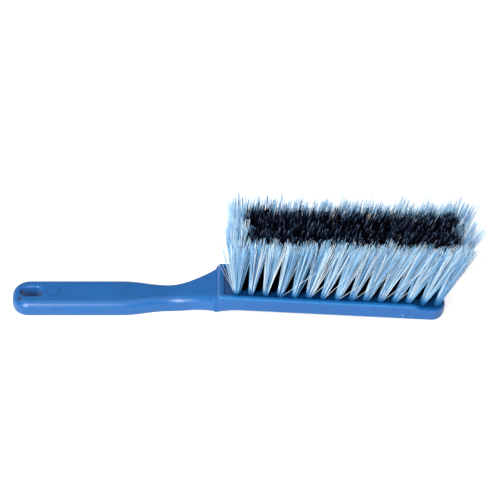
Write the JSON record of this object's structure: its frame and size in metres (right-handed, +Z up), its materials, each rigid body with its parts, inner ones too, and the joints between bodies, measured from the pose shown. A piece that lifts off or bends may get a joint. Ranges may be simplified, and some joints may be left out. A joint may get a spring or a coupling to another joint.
{
  "type": "bee brush",
  "caption": "Hand brush for brushing bees off combs: one-piece plastic handle and block with rows of soft splayed bristle tufts, pale round the edge and dark inside.",
  "frame": {"origin": "bottom centre of the whole brush's box, on the surface it lies on: half way between the handle's end and the furthest bristle tip, on the centre line", "axes": "+X along the brush from the handle to the toe, +Z up out of the bristle side; the brush lies on its back, on the handle's flat underside and the toe's lower edge, with the bristles up, and it is the same on both sides of the XZ plane"},
  "size_m": [0.323, 0.0578, 0.0739],
  "materials": {
    "blue_plastic": "satin",
    "pale_filament": "satin",
    "black_filament": "satin",
    "anchor_wire": "satin"
  },
  "bodies": {
    "root": {"brush_body": "blue_plastic", "black_tufts_02": "black_filament", "black_tufts_03": "black_filament", "black_tufts_04": "black_filament", "black_tufts_05": "black_filament", "black_tufts_06": "black_filament", "black_tufts_07": "black_filament", "black_tufts_08": "black_filament", "black_tufts_09": "black_filament", "black_tufts_10": "black_filament", "black_tufts_11": "black_filament", "black_tufts_12": "black_filament", "black_tufts_13": "black_filament", "black_tufts_14": "black_filament", "tuft_anchors": "anchor_wire", "tuft_back_01": "pale_filament", "tuft_back_02": "pale_filament", "tuft_back_03": "pale_filament", "tuft_back_04": "pale_filament", "tuft_back_05": "pale_filament", "tuft_back_06": "pale_filament", "tuft_back_07": "pale_filament", "tuft_back_08": "pale_filament", "tuft_back_09": "pale_filament", "tuft_back_10": "pale_filament", "tuft_back_11": "pale_filament", "tuft_back_12": "pale_filament", "tuft_back_13": "pale_filament", "tuft_back_14": "pale_filament", "tuft_back_15": "pale_filament", "tuft_front_01": "pale_filament", "tuft_front_02": "pale_filament", "tuft_front_03": "pale_filament", "tuft_front_04": "pale_filament", "tuft_front_05": "pale_filament", "tuft_front_06": "pale_filament", "tuft_front_07": "pale_filament", "tuft_front_08": "pale_filament", "tuft_front_09": "pale_filament", "tuft_front_10": "pale_filament", "tuft_front_11": "pale_filament", "tuft_front_12": "pale_filament", "tuft_front_13": "pale_filament", "tuft_front_14": "pale_filament", "tuft_front_15": "pale_filament", "tuft_heel_1": "black_filament", "tuft_heel_2": "pale_filament", "tuft_heel_3": "black_filament", "tuft_toe_1": "black_filament", "tuft_toe_2": "pale_filament", "tuft_toe_3": "black_filament"}
  },
  "joints": []
}
